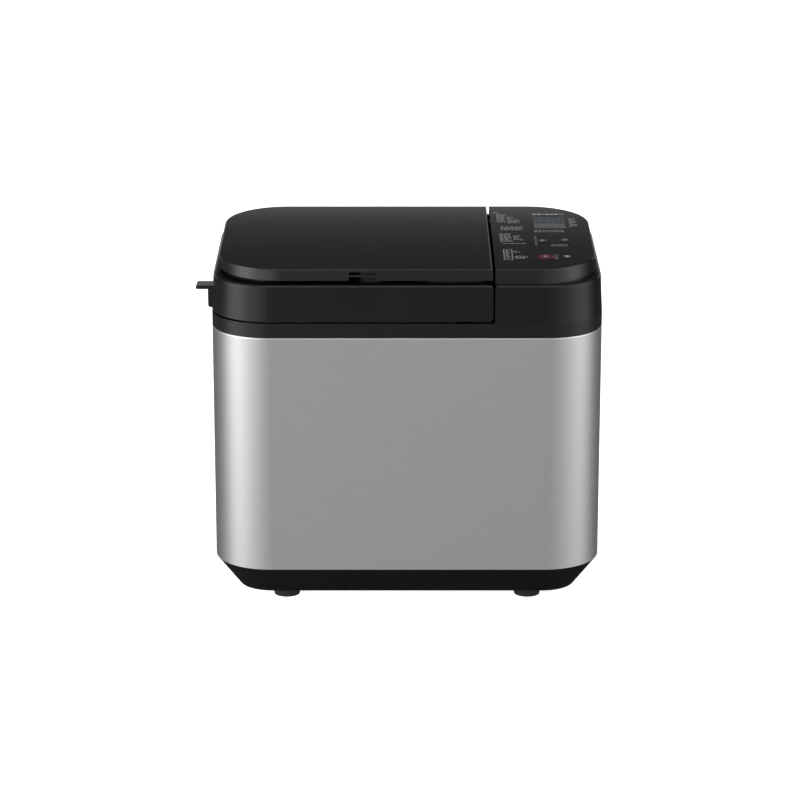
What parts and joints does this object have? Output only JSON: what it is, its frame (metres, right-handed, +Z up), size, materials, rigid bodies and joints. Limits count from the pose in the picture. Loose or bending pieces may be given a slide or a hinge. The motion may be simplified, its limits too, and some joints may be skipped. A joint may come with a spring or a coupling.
{
  "type": "bread machine",
  "caption": "Free-standing bread machine: steel-wrapped body, hinged lid with dispensers under a second cover, control panel, kneading pan and belt drive.",
  "frame": {"origin": "on the table, in the middle of the bounding box", "axes": "+X to the user's right, +Y to the rear, +Z up"},
  "size_m": [0.4064, 0.251, 0.3628],
  "materials": {
    "black_plastic": "satin black moulding",
    "cover_black": "semi-gloss black",
    "steel_wrap": "brushed, vertical highlights at the corners",
    "key_black": "satin",
    "rubber_black": "matte",
    "silicone": "matte",
    "sheet_steel": "plain zinc-plated",
    "turned_steel": "turned",
    "oven_metal": "aluminised sheet",
    "nonstick": "dark non-stick coat",
    "die_cast": "as cast",
    "bronze": "sintered",
    "heater_sheath": "heat-darkened",
    "pulley_plastic": "moulded",
    "belt_rubber": "matte",
    "board_green": "solder-masked board",
    "component": "assorted parts",
    "display_glass": "grey display window",
    "display_body": "unlit display",
    "box_plastic": "dark moulding"
  },
  "bodies": {
    "machine": {"base_tray": "black_plastic", "feet": "rubber_black", "chassis_plate": "sheet_steel", "chassis_screws": "turned_steel", "body_shell": "steel_wrap", "rear_panel": "black_plastic", "cord_gland": "rubber_black", "upper_housing": "black_plastic", "hinge_pins": "turned_steel", "control_cover": "cover_black", "display_window": "display_glass", "display_module": "display_body", "control_board": "board_green", "key_switches": "component", "oven_box": "oven_metal", "oven_stand": "sheet_steel", "pan_seat": "sheet_steel", "heater": "heater_sheath", "heater_clips": "sheet_steel", "temperature_sensor": "turned_steel", "thermal_fuse": "component", "bearing_housing": "die_cast", "drive_bush": "bronze", "drive_belt": "belt_rubber", "motor_bracket": "sheet_steel", "motor": "sheet_steel", "power_board": "board_green", "power_parts": "component"},
    "drive": {"drive_shaft": "turned_steel", "drive_pulley": "pulley_plastic", "drive_coupling": "die_cast"},
    "rotor": {"motor_shaft": "turned_steel", "motor_pulley": "pulley_plastic"},
    "pan": {"pan_body": "nonstick", "pan_bush": "bronze"},
    "handle": {"pan_handle": "turned_steel"},
    "blade": {"blade_shaft": "turned_steel", "blade_coupling": "die_cast", "kneading_blade": "nonstick"},
    "lid": {"lid_frame": "black_plastic", "cover_pins": "turned_steel", "lid_liner": "oven_metal", "lid_gasket": "silicone", "lid_grip": "black_plastic", "raisin_box": "box_plastic", "yeast_box": "box_plastic", "solenoids": "component"},
    "cover": {"cover_plate": "cover_black", "cover_seal": "silicone"},
    "raisin_flap_body": {"raisin_flap": "oven_metal"},
    "yeast_flap_body": {"yeast_flap": "oven_metal"},
    "raisin_plunger_body": {"raisin_plunger": "turned_steel"},
    "yeast_plunger_body": {"yeast_plunger": "turned_steel"},
    "up_key_body": {"up_key": "key_black"},
    "down_key_body": {"down_key": "key_black"},
    "start_key_body": {"start_key": "key_black"},
    "stop_key_body": {"stop_key": "key_black"}
  },
  "joints": [
    {"name": "lid_hinge", "type": "hinge", "parent": "machine", "child": "lid", "pos_m": [-0.047, 0.112, 0.32], "axis": [-1, 0, 0], "range_deg": [0, 95]},
    {"name": "cover_hinge", "type": "hinge", "parent": "lid", "child": "cover", "pos_m": [-0.047, 0.1115, 0.35577], "axis": [-1, 0, 0], "range_deg": [0, 70]},
    {"name": "raisin_flap_hinge", "type": "hinge", "parent": "lid", "child": "raisin_flap_body", "pos_m": [-0.09, 0.077, 0.2952], "axis": [1, 0, 0], "range_deg": [0, 80], "stiffness_Nm_per_rad": 0.03, "springref_deg": -57.3},
    {"name": "yeast_flap_hinge", "type": "hinge", "parent": "lid", "child": "yeast_flap_body", "pos_m": [0.005, 0.077, 0.2952], "axis": [1, 0, 0], "range_deg": [0, 80], "stiffness_Nm_per_rad": 0.02, "springref_deg": -57.3},
    {"name": "raisin_plunger_slide", "type": "slide", "parent": "lid", "child": "raisin_plunger_body", "axis": [0, 1, 0], "range_m": [0, 0.0035], "stiffness_N_per_m": 150, "springref_m": -0.003},
    {"name": "yeast_plunger_slide", "type": "slide", "parent": "lid", "child": "yeast_plunger_body", "axis": [0, 1, 0], "range_m": [0, 0.0035], "stiffness_N_per_m": 150, "springref_m": -0.003},
    {"name": "drive_spin", "type": "hinge", "parent": "machine", "child": "drive", "pos_m": [-0.047, -0.004, 0], "axis": [0, 0, 1], "continuous": true},
    {"name": "motor_spin", "type": "hinge", "parent": "machine", "child": "rotor", "pos_m": [0.145, -0.004, 0], "axis": [0, 0, 1], "continuous": true},
    {"name": "pan_lift", "type": "slide", "parent": "machine", "child": "pan", "axis": [0, 0, 1], "range_m": [0, 0.015]},
    {"name": "handle_hinge", "type": "hinge", "parent": "pan", "child": "handle", "pos_m": [-0.047, -0.004, 0.192], "axis": [-1, 0, 0], "range_deg": [0, 90]},
    {"name": "blade_spin", "type": "hinge", "parent": "pan", "child": "blade", "pos_m": [-0.047, -0.004, 0], "axis": [0, 0, 1], "continuous": true},
    {"name": "up_key_press", "type": "slide", "parent": "machine", "child": "up_key_body", "axis": [0, 0.0458, -0.999], "range_m": [0, 0.0006], "stiffness_N_per_m": 400, "springref_m": -0.001},
    {"name": "down_key_press", "type": "slide", "parent": "machine", "child": "down_key_body", "axis": [0, 0.0458, -0.999], "range_m": [0, 0.0006], "stiffness_N_per_m": 400, "springref_m": -0.001},
    {"name": "start_key_press", "type": "slide", "parent": "machine", "child": "start_key_body", "axis": [0, 0.0458, -0.999], "range_m": [0, 0.0006], "stiffness_N_per_m": 400, "springref_m": -0.001},
    {"name": "stop_key_press", "type": "slide", "parent": "machine", "child": "stop_key_body", "axis": [0, 0.0458, -0.999], "range_m": [0, 0.0006], "stiffness_N_per_m": 400, "springref_m": -0.001}
  ],
  "couplings": [
    {"joint": "motor_spin", "follows": "drive_spin", "ratio": 5},
    {"joint": "blade_spin", "follows": "drive_spin", "ratio": 1}
  ]
}
